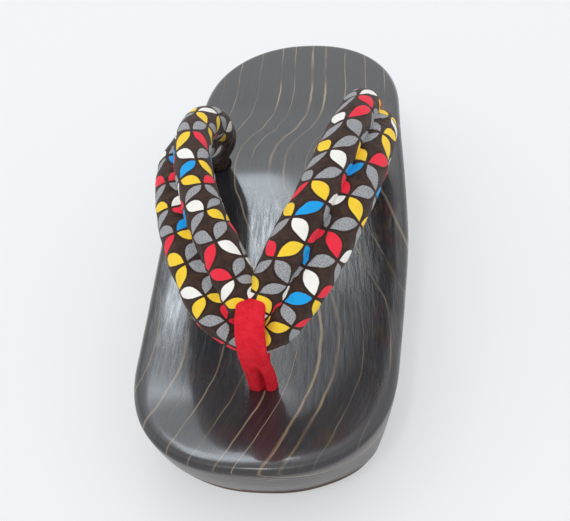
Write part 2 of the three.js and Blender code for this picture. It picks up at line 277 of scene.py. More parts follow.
def smooth_share(low, high, value):
    """0 below low, 1 above high and a soft step between."""
    share = min(max((value - low) / (high - low), 0.0), 1.0)
    return share * share * (3 - 2 * share)


def along(table, key, column, at):
    """A value read along a table with a smooth curve through its rows."""
    last = len(table) - 1
    i = 0
    while i < last - 1 and at > table[i + 1][key]:
        i += 1
    a, b = table[i], table[i + 1]
    before, after = table[max(i - 1, 0)], table[min(i + 2, last)]
    step = b[key] - a[key]
    u = min(max((at - a[key]) / step, 0.0), 1.0)
    slope_a = (b[column] - before[column]) / (b[key] - before[key]) * step
    slope_b = (after[column] - a[column]) / (after[key] - a[key]) * step
    u2, u3 = u * u, u * u * u
    return (
        (2 * u3 - 3 * u2 + 1) * a[column]
        + (u3 - 2 * u2 + u) * slope_a
        + (3 * u2 - 2 * u3) * b[column]
        + (u3 - u2) * slope_b
    )


def numbered(table):
    """A table's rows with their even shares of the way."""
    last = len(table) - 1
    return tuple({**row, "share": i / last} for i, row in enumerate(table))


def rounded_end(distance, end):
    """The share of the full width at a distance from an end of the plan."""
    u = min(max(1 - distance / end["length"], 0.0), 1.0)
    return (1 - u ** end["power"]) ** (1 / end["power"])


def even_steps(path, count):
    """Even steps along a fine path: length behind, length ahead, point passed, share on."""
    reach = [0.0]
    for a, b in zip(path, path[1:]):
        reach.append(reach[-1] + math.dist(a, b))
    k = 0
    for i in range(count + 1):
        goal = reach[-1] * i / count
        while k < len(path) - 2 and reach[k + 1] < goal:
            k += 1
        yield goal, reach[-1] - goal, k, (goal - reach[k]) / (reach[k + 1] - reach[k])


class Plan:
    """The sandal's plan, its footbed and the points around its rim."""

    def __init__(self, length):
        self.length = length
        self.points = self.rim_points()

    def half_width(self, y):
        from_toe = y + self.length / 2
        return (
            along(SIDES, "from_toe", "half", from_toe)
            * rounded_end(from_toe, TOE_ROUND)
            * rounded_end(self.length - from_toe, HEEL_ROUND)
        )

    def footbed(self, x, y):
        from_toe = y + self.length / 2
        dish = along(FOOTBED, "from_toe", "dish", from_toe)
        side = min(abs(x) / DISH_HALF, 1.0)
        return along(FOOTBED, "from_toe", "height", from_toe) - dish * (1 - side * side)

    def rim_points(self):
        """Evenly spaced points with inward normals, from the toe's tip to the right."""
        fine, count = [], 2000
        for i in range(count + 1):
            y = -self.length / 2 * math.cos(math.pi * i / count)
            fine.append((0.0 if i % count == 0 else self.half_width(y), y))
        half = []
        for _, _, k, u in even_steps(fine, STATIONS // 2):
            half.append(tuple(p + (q - p) * u for p, q in zip(fine[k], fine[k + 1])))
        ring = half + [(-x, y) for x, y in reversed(half[1:-1])]
        points = []
        for i, (x, y) in enumerate(ring):
            before, after = ring[i - 1], ring[(i + 1) % STATIONS]
            run = Vector((after[0] - before[0], after[1] - before[1])).normalized()
            points.append((x, y, -run.y, run.x))
        return points

    def inset(self, station, distance):
        x, y, in_x, in_y = self.points[station]
        return x + in_x * distance, y + in_y * distance

    def undercut(self, station):
        v = self.points[station][1] / (self.length / 2)
        end = UNDERCUT["toe"] if v < 0 else UNDERCUT["heel"]
        share = smooth_share(UNDERCUT["grows_from"], 1.0, abs(v))
        return UNDERCUT["side"] + (end - UNDERCUT["side"]) * share


# --------------------------------------------------------------------- modelling tools


def clear_selection():
    if bpy.context.mode != "OBJECT":
        bpy.ops.object.mode_set(mode="OBJECT")
    bpy.ops.object.select_all(action="DESELECT")


def select_only(piece):
    clear_selection()
    piece.select_set(True)
    bpy.context.view_layer.objects.active = piece


def settle(piece, name):
    """Names a new piece and moves its place into its mesh."""
    select_only(piece)
    bpy.ops.object.transform_apply(location=True, rotation=True, scale=True)
    piece.name = name
    piece.data.name = name
    return piece


def stationed_ring(name, place):
    """A ring of numbered points, set out by a function of their numbers."""
    clear_selection()
    bpy.ops.mesh.primitive_circle_add(vertices=STATIONS, radius=0.05)
    ring = settle(bpy.context.object, name)
    stations = ring.data.attributes.new("station", "INT", "POINT")
    stations.data.foreach_set("value", list(range(STATIONS)))
    bpy.ops.object.mode_set(mode="EDIT")
    bpy.ops.mesh.select_mode(type="VERT")
    bpy.ops.mesh.select_all(action="SELECT")
    place_selected(ring, place)
    return ring


def place_selected(piece, place):
    mesh = bmesh.from_edit_mesh(piece.data)
    stations = mesh.verts.layers.int["station"]
    for point in mesh.verts:
        if point.select:
            point.co = Vector(place(point[stations])) * MM
    bmesh.update_edit_mesh(piece.data)


def raise_ring(piece, place):
    bpy.ops.mesh.extrude_region_move()
    place_selected(piece, place)


def piece_of(mesh, name):
    """Makes a piece of mesh code's result."""
    bmesh.ops.recalc_face_normals(mesh, faces=mesh.faces)
    data = bpy.data.meshes.new(name)
    mesh.to_mesh(data)
    mesh.free()
    piece = bpy.data.objects.new(name, data)
    bpy.context.scene.collection.objects.link(piece)
    return piece


def select_edges(piece, test):
    """Selects the edges that pass a test, in edit mode."""
    bpy.ops.mesh.select_mode(type="EDGE")
    bpy.ops.mesh.select_all(action="DESELECT")
    mesh = bmesh.from_edit_mesh(piece.data)
    for edge in mesh.edges:
        if test(edge):
            edge.select = True
    mesh.select_flush_mode()
    bmesh.update_edit_mesh(piece.data)


def cut_away(piece, cutters):
    select_only(piece)
    for cutter in cutters:
        cut = piece.modifiers.new("cut", "BOOLEAN")
        cut.operation = "DIFFERENCE"
        cut.solver = "EXACT"
        cut.object = cutter
        bpy.ops.object.modifier_apply(modifier=cut.name)
    for cutter in cutters:
        bpy.data.objects.remove(cutter)


def finish_piece(piece, material, slot, *nodes, smooth=35):
    select_only(piece)
    bpy.ops.object.shade_smooth_by_angle(angle=math.radians(smooth))
    piece.data.materials.clear()
    piece.data.materials.append(material)
    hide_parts(*nodes)
    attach(piece, "root")
    return piece


# ----------------------------------------------------------------------------- shading


class Socket:
    """A value in a material, on which Python's operators add Math nodes."""

    def __init__(self, paint, socket):
        self.paint = paint
        self.socket = socket

    def math(self, operation, *others):
        values = dict(enumerate((self, *others)))
        return self.paint.node("ShaderNodeMath", {"operation": operation}, values)

    def __add__(self, other):
        return self.math("ADD", other)

    __radd__ = __add__

    def __sub__(self, other):
        return self.math("SUBTRACT", other)

    def __rsub__(self, other):
        return (self * -1) + other

    def __mul__(self, other):
        return self.math("MULTIPLY", other)

    __rmul__ = __mul__

    def __truediv__(self, other):
        return self.math("DIVIDE", other)

    def __pow__(self, other):
        return self.math("POWER", other)

    def __abs__(self):
        return self.math("ABSOLUTE")

    def high(self, other):
        return self.math("MAXIMUM", other)

    def floor(self):
        return self.math("FLOOR")

    def part(self):
        return self.math("FRACT")

    def sine(self):
        return self.math("SINE")

    def above(self, other):
        return self.math("GREATER_THAN", other)

    def step(self, low, high):
        """0 below low, 1 above high and a soft step between."""
        return self.paint.node(
            "ShaderNodeMapRange",
            {"interpolation_type": "SMOOTHSTEP"},
            {"Value": self, "From Min": low, "From Max": high},
        )


class Paint:
    """One material and the nodes that draw it."""

    def __init__(self, name):
        self.material = bpy.data.materials.new(name)
        self.material.use_nodes = True
        self.tree = self.material.node_tree
        self.tree.nodes.clear()

    def node(self, kind, settings=None, values=None, out=0):
        made = self.tree.nodes.new(kind)
        for key, value in (settings or {}).items():
            if key == "stops":
                self.set_stops(made.color_ramp, value)
            elif key == "curve":
                self.set_curve(made.mapping, value)
            else:
                setattr(made, key, value)
        for key, value in (values or {}).items():
            self.feed(made.inputs[key], value)
        return Socket(self, made.outputs[out])

    def feed(self, entry, value):
        if isinstance(value, Socket):
            self.tree.links.new(value.socket, entry)
        elif entry.type == "RGBA" and len(value) == 3:
            entry.default_value = (*value, 1.0)
        else:
            entry.default_value = value

    @staticmethod
    def set_stops(ramp, stops):
        while len(ramp.elements) > 1:
            ramp.elements.remove(ramp.elements[-1])
        for i, (place, colour) in enumerate(stops):
            stop = ramp.elements[0] if i == 0 else ramp.elements.new(place)
            stop.position = place
            stop.color = (*colour, 1.0)

    @staticmethod
    def set_curve(mapping, points):
        curve = mapping.curves[0]
        while len(curve.points) > 2:
            curve.points.remove(curve.points[1])
        curve.points[0].location = points[0]
        curve.points[1].location = points[-1]
        for point in points[1:-1]:
            curve.points.new(*point)
        mapping.update()

    def mix(self, share, low, high):
        """Between two colours."""
        made = self.tree.nodes.new("ShaderNodeMix")
        made.data_type = "RGBA"
        for place, value in ((0, share), (6, low), (7, high)):
            self.feed(made.inputs[place], value)
        return Socket(self, made.outputs[2])

    def vector(self, x, y, z):
        return self.node("ShaderNodeCombineXYZ", None, {0: x, 1: y, 2: z})

    def parts(self, vector):
        made = self.tree.nodes.new("ShaderNodeSeparateXYZ")
        self.feed(made.inputs[0], vector)
        return [Socket(self, made.outputs[k]) for k in range(3)]

    def millimetres(self):
        """Object coordinates as three values in millimetres."""
        place = self.node("ShaderNodeTexCoord", out=3)
        return [value * 1000 for value in self.parts(place)]

    def noise(self, vector, scale=1.0, detail=2.0, rough=0.5):
        values = {"Vector": vector, "Scale": scale, "Detail": detail, "Roughness": rough}
        return self.node("ShaderNodeTexNoise", None, values)

    def curve(self, points, share):
        """A value read along a drawn curve, from 0 to 1 both ways."""
        values = {"Factor": 1.0, "Value": share}
        return self.node("ShaderNodeFloatCurve", {"curve": points}, values)

    def bump(self, height, distance, strength=1.0, over=None):
        values = {"Height": height, "Distance": distance, "Strength": strength}
        if over is not None:
            values["Normal"] = over
        return self.node("ShaderNodeBump", None, values)

    def surface(self, **sockets):
        shader = self.tree.nodes.new("ShaderNodeBsdfPrincipled")
        for key, value in sockets.items():
            self.feed(shader.inputs[key.replace("_", " ")], value)
        out = self.tree.nodes.new("ShaderNodeOutputMaterial")
        self.tree.links.new(shader.outputs[0], out.inputs[0])
        return self.material


def linear(red, green, blue):
    """A colour as seen on a screen, from 0 to 255, as Blender's own numbers."""

    def one(value):
        value /= 255
        return value / 12.92 if value <= 0.04045 else ((value + 0.055) / 1.055) ** 2.4

    return one(red), one(green), one(blue)


def lacquered_wood(settings):
    """Dark stained wood with pale lines, under a lacquer that is brushed on."""
    paint = Paint("lacquered_wood")
    x, y, z = paint.millimetres()
    length = settings.length / MM
    share = (y + length / 2) / length

    # depth below the footbed, and the wave that the lines follow
    low, span = 20, 30
    heights = [
        (row["from_toe"] / length, (row["height"] - row["dish"] - low) / span)
        for row in FOOTBED
    ]
    depth = (paint.curve(heights, share) * span + low - z).high(0.0)
    wave_low = min(row["x"] for row in GRAIN_WAVE)
    wave_span = max(row["x"] for row in GRAIN_WAVE) - wave_low
    waves = [(row["y"] / length + 0.5, (row["x"] - wave_low) / wave_span) for row in GRAIN_WAVE]
    wave = paint.curve(waves, share) * wave_span + wave_low
    wobble = paint.noise(paint.vector(x * 0.02, y * 0.03, z * 0.03)) - 0.5
    ripple = paint.noise(paint.vector(x * 0.15, y * 0.16, z * 0.2)) - 0.5
    across = x - wave + wobble * 2.4 + ripple * 0.7 - (depth - 2.0).high(0.0) * 3.6
    start, repeat = GRAIN_REPEAT["from"], GRAIN_REPEAT["length"]
    across = ((across - start) / repeat).part() * repeat + start

    # the pale lines, wider on the walls, and the hairlines between them
    fade = paint.noise(paint.vector(across * 0.35, y * 0.03, z * 0.05), 1.0, 2.0, 0.6)
    swell = paint.noise(paint.vector(across * 0.5, y * 0.05, 3.0), 1.0, 2.0, 0.6) * 0.9 + 0.35
    swell = swell * (1 + depth.step(2.0, 6.0) * 2.2)
    lines = None
    for row in GRAIN_LINES:
        away = abs(across - row["place"]) / swell
        line = (1 - away.step(row["width"] * 0.15, row["width"] * 0.68)) * row["shows"]
        lines = line if lines is None else lines.high(line)
    lines = lines * (fade.step(0.3, 0.62) * 0.85 + 0.15)
    hair = paint.noise(paint.vector(across * 1.1, y * 0.015, z * 0.02), 1.0, 3.0, 0.6)
    hairlines = (1 - abs(hair - 0.5).step(0.0, 0.012)) * 0.16
    pores = paint.noise(paint.vector(across * 3.2, y * 0.12, z * 0.12), 1.0, 4.0, 0.7)

    # colour, browner at the rim
    cloudy = paint.noise(paint.vector(x * 0.02, y * 0.012, z * 0.03))
    rim = (abs(x) / 46) ** 4 + (abs(y) / 119) ** 10
    brown = rim.step(0.7, 1.1) * 0.35 + cloudy.step(0.5, 0.8) * 0.2
    ground = paint.mix(brown, settings.ground, settings.warm_edge)
    ground = paint.mix(pores.step(0.4, 0.75) * 0.3, ground, settings.pore)
    tone = paint.mix(fade.step(0.35, 0.7), settings.line_colour, settings.line_pale)
    colour = paint.mix(lines.high(hairlines), ground, tone)

    # brush marks, pores and lines in the surface
    marks = paint.noise(paint.vector(x * 0.8 + y * 0.06, y * 0.09, z * 0.7), 1.0, 4.0, 0.6)
    normal = paint.bump(marks, 0.0003, 0.5)
    patchy = paint.noise(paint.vector(x * 0.3, y * 0.12, z * 0.2), 1.0, 3.0, 0.6)
    normal = paint.bump(patchy, 0.0003, 0.12, normal)
    normal = paint.bump(pores * 0.4 + lines * 0.6, 0.00014, 0.5, normal)

    # the lacquer is thin on the rim and the walls, and keeps its polish under the strap
    gloss = paint.noise(paint.vector(x * 0.12, y * 0.05, z * 0.1), 1.0, 3.0, 0.6)
    brushed = paint.noise(paint.vector(x + y * 0.05, y * 0.07, z * 0.5), 1.0, 3.0, 0.6)
    lacquer = 1 - depth.step(0.1, 0.7) * 0.94 + depth.step(2.2, 3.4) * 0.05
    sheltered = y.step(-95.0, -62.0) * (1 - y.step(-5.0, 15.0))
    dull = x.step(0.0, 16.0) * (1 - x.step(30.0, 42.0))
    dull = dull * y.step(-104.0, -88.0) * (1 - y.step(-50.0, -25.0))
    coat = (brushed.step(0.34, 0.66) - 0.5) * sheltered * 0.6 + 0.64 - dull * 0.5
    return paint.surface(
        Base_Color=colour,
        Roughness=gloss * 0.12 + pores * 0.06 + 0.21 - sheltered * (1 - dull) * 0.12,
        Normal=normal,
        Specular_IOR_Level=0.6,
        Coat_Weight=coat * lacquer,
        Coat_Roughness=0.09,
    )


def sole_rubber(settings):
    """Dull brown rubber, paler in patches."""
    paint = Paint("sole_rubber")
    x, y, z = paint.millimetres()
    grain = paint.noise(paint.vector(x, y, z), 1.3, 3.0, 0.6)
    patch = paint.noise(paint.vector(x, y, z), 0.06)
    colour = paint.mix(patch.step(0.3, 0.7), settings.rubber_dark, settings.rubber_pale)
    return paint.surface(
        Base_Color=colour,
        Roughness=grain * 0.2 + 0.6,
        Normal=paint.bump(grain, 0.0002, 0.4),
    )


def printed_cotton(settings):
    """Dark cotton printed with petals that meet at the points of a square net."""
    paint = Paint("printed_cotton")
    s, t, _ = paint.parts(paint.node("ShaderNodeUVMap", {"uv_map": "cloth"}))
    left = paint.node("ShaderNodeAttribute", {"attribute_name": "left_arm"}, out=2)
    u, v = s * CELL["along"], t * CELL["across"]
    flat = paint.vector(u, v, left * 40)
    wander = paint.noise(flat, 0.11) - 0.5
    ragged = paint.noise(flat, 1.3, 2.0, 0.6) - 0.5
    s, t = s + wander * 0.16, t - wander * 0.12

    # where in its cell a point is, turned so that each petal lies along the diagonal
    column, row = s.floor(), t.floor()
    odd = ((column + row) * 0.5).part() * 2
    x, y = s - column, t - row
    y = y + odd * (1 - 2 * y)
    reach, side = x + y - 1, x - y
    wide = side.above(0.0) * (PETAL["round"] - PETAL["flat"]) + PETAL["flat"]
    blunt = 1 + reach * 0.2
    edge = (1 - (reach / PETAL["reach"]) ** 2) * blunt * wide - abs(side) + ragged * 0.05
    petal = edge.step(-0.015, 0.03)
    arc = (1 - reach * reach) * blunt * (wide + 0.09)
    line = 1 - abs(abs(side) - arc).step(0.012, 0.06)

    # the petal's ink from the repeat, with specks in the grey
    place = column.high(CELL["first"])
    place = place + left * (CELL["left_from"] - 2 * place)
    place = ((place + 0.5) / len(PRINT_REPEAT[0])).part()
    turn = ((row + 2.5) / len(PRINT_REPEAT)).part() * len(PRINT_REPEAT)
    inks = {name[0]: getattr(settings, name) for name in INKS}
    ink = None
    for k, letters in enumerate(PRINT_REPEAT):
        stops = [
            (i / len(letters), inks[letter])
            for i, letter in enumerate(letters)
            if i == 0 or letters[i - 1] != letter
        ]
        ramp = paint.node("ShaderNodeValToRGB", {"stops": stops}, {0: place})
        ramp.socket.node.color_ramp.interpolation = "CONSTANT"
        ink = ramp if ink is None else paint.mix(turn.above(float(k)), ink, ramp)
    red, green, blue = paint.parts(ink)
    plain = (1 - abs(red - blue).step(0.03, 0.08)) * (1 - green.step(0.5, 0.7))
    speck = paint.noise(flat, 2.1, 2.0, 0.75)
    thread = paint.noise(flat, 5.5, 2.0, 0.7)
    cloud = paint.noise(flat, 0.35, 3.0, 0.6)
    ink = paint.mix(plain * speck.step(0.5, 0.66) * 0.6, ink, settings.speck)
    ink = paint.mix(plain * (1 - speck.step(0.34, 0.48)) * 0.55, ink, settings.ground)
    worn = thread.step(0.42, 0.8) * 0.22 + cloud.step(0.5, 0.8) * 0.12
    ink = paint.mix(worn, ink, settings.ground)
    ground = paint.mix(cloud.step(0.3, 0.7), settings.ground, settings.ground_lit)
    ground = paint.mix(line * 0.6, ground, settings.outline)
    # painted shade: near the holes the petals fade into the ground, for the dark gathered ends
    shaded_end = (s + left * SHADED_END["left_sooner"]).step(SHADED_END["from"], SHADED_END["to"])
    colour = paint.mix(petal * (1 - shaded_end), ground, ink)

    warp = (u * (2 * math.pi / THREAD)).sine()
    weft = (v * (2 * math.pi / THREAD)).sine()
    weave = warp * weft * 0.5 + thread
    normal = paint.bump(cloud, 0.0004, 0.3)
    normal = paint.bump(weave, 0.00007, 0.6, normal)
    normal = paint.bump(petal, 0.00006, 0.5, normal)
    return paint.surface(
        Base_Color=colour,
        Roughness=thread * 0.1 + 0.8,
        Normal=normal,
        Sheen_Weight=0.1,
        Sheen_Roughness=0.5,
        Specular_IOR_Level=0.25,
    )


def red_felt(settings):
    """Felted red cloth, darker between its hairs, with painted shade along its crease."""
    paint = Paint("red_felt")
    x, y, z = paint.millimetres()
    place = paint.vector(x, y, z)
    nap = paint.noise(place, 2.4, 4.0, 0.75)
    patch = paint.noise(place, 0.3, 3.0, 0.6)
    colour = paint.mix(patch.step(0.3, 0.7), settings.shade, settings.colour)
    colour = paint.mix(nap.step(0.52, 0.75) * 0.4, colour, settings.tip)
    colour = paint.mix((1 - nap.step(0.3, 0.46)) * 0.5, colour, settings.nap_gaps_and_crease_shade)
    # painted shade: the front of the loop is darkened along its crease with the depth colour
    crease = (1 - abs(x - 0.9).step(0.1, 1.5)) * (1 - z.step(33.0, 43.0))
    crease = crease * (1 - y.step(-88.0, -85.0))
    colour = paint.mix(crease * 0.7, colour, settings.nap_gaps_and_crease_shade)
    return paint.surface(
        Base_Color=colour,
        Roughness=0.95,
        Normal=paint.bump(nap, 0.0006, 0.7),
        Sheen_Weight=0.08,
        Sheen_Roughness=0.6,
        Sheen_Tint=(*settings.tip, 1.0),
        Specular_IOR_Level=0.1,
    )


# --------------------------------------------------------------------------- settings


def colour_setting(name, description, red, green, blue):
    return bpy.props.FloatVectorProperty(
        name=name,
        description=description,
        subtype="COLOR",
        size=3,
        min=0.0,
        max=1.0,
        default=linear(red, green, blue),
    )


def length_setting(name, description, metres):
    return bpy.props.FloatProperty(
        name=name, description=description, default=metres, min=0.0, unit="LENGTH"
    )


class GetaWoodSettings(bpy.types.PropertyGroup):
    length: length_setting("Length", "From toe to heel", cad_box[1][1] - cad_box[0][1])
    rim: length_setting("Rim", "Radius of the rounded upper edge", 0.0026)
    rubber: length_setting("Rubber", "Thickness of the rubber soles", 0.004)
    ground: colour_setting("Ground", "Stained wood between its lines", 38, 38, 43)
    warm_edge: colour_setting("Warm edge", "Where the stain thins out", 54, 46, 42)
    pore: colour_setting("Pores", "Fine dark streaks along the grain", 16, 15, 16)
    rubber_dark: colour_setting("Dark rubber", "Rubber of the soles", 78, 62, 54)
    rubber_pale: colour_setting("Pale rubber", "Where the rubber has bloomed", 96, 78, 68)
    line_colour: colour_setting("Lines", "Pale grain lines", 120, 100, 77)
    line_pale: colour_setting("Palest lines", "Where the lines show most", 158, 142, 117)


class GetaStrapSettings(bpy.types.PropertyGroup):
    pucker: length_setting("Pucker", "Depth of the gathers along the crease", 0.0006)
    ground: colour_setting("Ground", "Cotton between the petals", 50, 34, 28)
    ground_lit: colour_setting("Worn ground", "Cotton where the dye is thinner", 70, 49, 40)
    outline: colour_setting("Outline", "Dark line around each petal", 26, 18, 17)
    speck: colour_setting("Speck", "Pale grain in the grey ink", 200, 202, 206)
    grey: colour_setting("Grey", "Petal ink", 158, 160, 163)
    red: colour_setting("Red", "Petal ink", 244, 46, 68)
    yellow: colour_setting("Yellow", "Petal ink", 255, 214, 58)
    white: colour_setting("White", "Petal ink", 250, 248, 242)
    blue: colour_setting("Blue", "Petal ink", 24, 166, 238)


class GetaLoopSettings(bpy.types.PropertyGroup):
    crease: length_setting("Crease", "Depth of the fold above the hole", 0.0026)
    colour: colour_setting("Colour", "Red felt", 240, 46, 62)
    shade: colour_setting("Shade", "Felt rubbed against its nap", 226, 34, 50)
    tip: colour_setting("Tips", "Tips of the nap", 240, 66, 76)
    # This colour is also the painted shade in the loop's crease.
    nap_gaps_and_crease_shade: colour_setting("Depth", "Gaps in the nap", 140, 10, 22)


class GetaStageSettings(bpy.types.PropertyGroup):
    floor: colour_setting("Floor", "Pale floor and surroundings", 190, 191, 193)
    lens: bpy.props.FloatProperty(
        name="Lens", description="The camera's focal length", default=57.175, unit="CAMERA"
    )


# -------------------------------------------------------------------------- operators


class GETA_OT_platform(bpy.types.Operator):
    """Build the wooden platform with its rim, holes and arch"""

    bl_idname = "geta.platform"
    bl_label = "Platform"

    def execute(self, context):
        settings = context.scene.geta_wood
        plan = Plan(settings.length / MM)
        wood = self.body(plan, settings)
        cut_away(wood, [self.arch(settings), *self.holes()])
        self.soften(wood)
        finish_piece(wood, lacquered_wood(settings), "wood", "platform")
        return {"FINISHED"}

    def body(self, plan, settings):
        rubber, rim = settings.rubber / MM, settings.rim / MM
        low = rubber + FOOT_EDGE

        def foot(turn):
            angle = math.radians(turn)

            def place(station):
                share = plan.undercut(station) + FOOT_EDGE * (1 - math.sin(angle))
                x, y = plan.inset(station, share)
                return x, y, low - FOOT_EDGE * math.cos(angle)

            return place

        def wall(share):
            def place(station):
                bulge = 1 - share - 0.08 * math.sin(math.pi * share)
                x, y = plan.inset(station, plan.undercut(station) * bulge)
                high = plan.footbed(*plan.points[station][:2]) - rim
                return x, y, low + (high - low) * share

            return place

        def edge(turn):
            angle = math.radians(turn)

            def place(station):
                x, y = plan.inset(station, rim * (1 - math.cos(angle)))
                return x, y, plan.footbed(x, y) - rim * (1 - math.sin(angle))

            return place

        def bed(share):
            def place(station):
                x, y = plan.inset(station, rim * 2.0)
                middle = min(max(y, -SPINE_HALF), SPINE_HALF)
                x, y = x * (1 - share), y + (middle - y) * share
                return x, y, plan.footbed(x, y)

            return place

        wood = stationed_ring("wood_platform", foot(0))
        for turn in (30, 60, 90):
            raise_ring(wood, foot(turn))
        for k in range(1, 9):
            raise_ring(wood, wall(k / 9))
        for turn in range(0, 91, 9):
            raise_ring(wood, edge(turn))
        for k in range(26):
            raise_ring(wood, bed(k / 25))
        bpy.ops.mesh.select_all(action="SELECT")
        bpy.ops.mesh.remove_doubles(threshold=0.000004)
        bpy.ops.mesh.select_all(action="DESELECT")
        bpy.ops.mesh.select_mode(type="EDGE")
        bpy.ops.mesh.select_non_manifold()
        bpy.ops.mesh.edge_face_add()
        bpy.ops.mesh.select_all(action="SELECT")
        bpy.ops.mesh.normals_make_consistent(inside=False)
        clear_selection()
        return wood

    def arch(self, settings):
        rubber = settings.rubber / MM
        front, back, lean = ARCH["front"], ARCH["back"], ARCH["lean"]
        top = rubber + ARCH["height"]
        rise = (
            (front, rubber),
            (front + lean * 0.7, top - 2),
            (front + lean * 1.3, top),
            (front + lean * 3, top),
        )
        fall = (
            (back - lean * 2.6, top),
            (back - lean, top),
            (back - lean * 0.5, top - 3),
            (back, rubber),
        )
        below = -5.0
        profile = [(front - 3, below)]
        for corners in (rise, fall):
            for k in range(17):
                t = k / 16
                weights = ((1 - t) ** 3, 3 * t * (1 - t) ** 2, 3 * t * t * (1 - t), t**3)
                y, z = (sum(w * c[i] for w, c in zip(weights, corners)) for i in (0, 1))
                profile.append((y, z))
        profile.append((back + 3, below))
        clear_selection()
        bpy.ops.mesh.primitive_grid_add(
            x_subdivisions=1, y_subdivisions=len(profile) - 1, size=0.12
        )
        strip = settle(bpy.context.object, "arch_cutter")
        rows = sorted({round(v.co.y, 6) for v in strip.data.vertices})
        for vertex in strip.data.vertices:
            y, z = profile[rows.index(round(vertex.co.y, 6))]
            vertex.co = Vector((vertex.co.x, y * MM, z * MM))
        bpy.ops.object.mode_set(mode="EDIT")
        bpy.ops.mesh.select_all(action="SELECT")
        bpy.ops.mesh.extrude_region_move(TRANSFORM_OT_translate={"value": (0, 0, -0.03)})
        bpy.ops.mesh.select_all(action="SELECT")
        bpy.ops.mesh.normals_make_consistent(inside=False)
        clear_selection()
        return strip

    def holes(self):
        bars = []
        for x, y, radius in (
            (FRONT_HOLE["x"], FRONT_HOLE["y"], FRONT_HOLE["radius"]),
            (REAR_HOLE["x"], REAR_HOLE["y"], REAR_HOLE["radius"]),
            (-REAR_HOLE["x"], REAR_HOLE["y"], REAR_HOLE["radius"]),
        ):
            clear_selection()
            bpy.ops.mesh.primitive_cylinder_add(
                vertices=56, radius=radius * MM, depth=0.1, location=(x * MM, y * MM, 0.03)
            )
            bars.append(settle(bpy.context.object, "hole_cutter"))
        return bars

    def soften(self, wood):
        """Breaks the sharp edges of the arch and the holes, but not the one on the ground."""
        select_only(wood)
        bpy.ops.object.mode_set(mode="EDIT")

        def sharp(edge):
            height = (edge.verts[0].co.z + edge.verts[1].co.z) / 2 / MM
            turn = edge.calc_face_angle(0.0) if len(edge.link_faces) == 2 else 0.0
            return turn > math.radians(40) and height > 4.5

        select_edges(wood, sharp)
        bpy.ops.mesh.bevel(offset=0.0005, segments=2, clamp_overlap=True)
        clear_selection()


class GETA_OT_rubbers(bpy.types.Operator):
    """Build the two rubber soles"""

    bl_idname = "geta.rubbers"
    bl_label = "Rubber soles"

    def execute(self, context):
        settings = context.scene.geta_wood
        plan = Plan(settings.length / MM)
        material = sole_rubber(settings)
        half = plan.length / 2
        spans = (
            ("front_rubber", "forefoot_rubber", -half, ARCH["front"] - RUBBER_SHORT),
            ("back_rubber", "heel_rubber", ARCH["back"] + RUBBER_SHORT, half),
        )
        for name, node, start, end in spans:
            rubber = self.sole(plan, settings, name, start, end)
            finish_piece(rubber, material, "sole_rubber", node)
        return {"FINISHED"}

    def sole(self, plan, settings, name, start, end):
        thick = settings.rubber / MM

        def ring(extra, z):
            def place(station):
                share = plan.undercut(station) + FOOT_EDGE + RUBBER_INSET + extra
                return (*plan.inset(station, share), z)

            return place

        rubber = stationed_ring(name, ring(*RUBBER_EDGE[0]))
        for extra, z in (*RUBBER_EDGE[1:], (0.0, thick - 0.01)):
            raise_ring(rubber, ring(extra, z))
        bpy.ops.mesh.edge_face_add()
        bpy.ops.mesh.select_all(action="DESELECT")
        bpy.ops.mesh.select_mode(type="EDGE")
        bpy.ops.mesh.select_non_manifold()
        bpy.ops.mesh.edge_face_add()
        for y, outside in ((start, -1), (end, 1)):
            bpy.ops.mesh.select_all(action="SELECT")
            bpy.ops.mesh.bisect(
                plane_co=(0, y * MM, 0),
                plane_no=(0, outside, 0),
                use_fill=True,
                clear_outer=True,
            )
        bpy.ops.mesh.select_all(action="SELECT")
        bpy.ops.mesh.normals_make_consistent(inside=False)
        clear_selection()
        return rubber


def arm_frame(table, share):
    """The middle, the way from roll to roll, the way up from both and the row's sizes."""
    row = {key: along(table, "share", key, share) for key in table[0] if key != "share"}
    behind, ahead = (
        Vector([along(table, "share", key, at) for key in ("out", "y", "z")])
        for at in (max(share - 0.01, 0.0), min(share + 0.01, 1.0))
    )
    run = (ahead - behind).normalized()
    turn, lean = math.radians(row["facing"]), math.radians(row["tilt"])
    pair = Vector(
        (math.cos(turn) * math.cos(lean), -math.sin(turn) * math.cos(lean), -math.sin(lean))
    )
    pair = (pair - run * pair.dot(run)).normalized()
    middle = Vector((row["out"], row["y"], row["z"]))
    return middle, pair, pair.cross(run), row


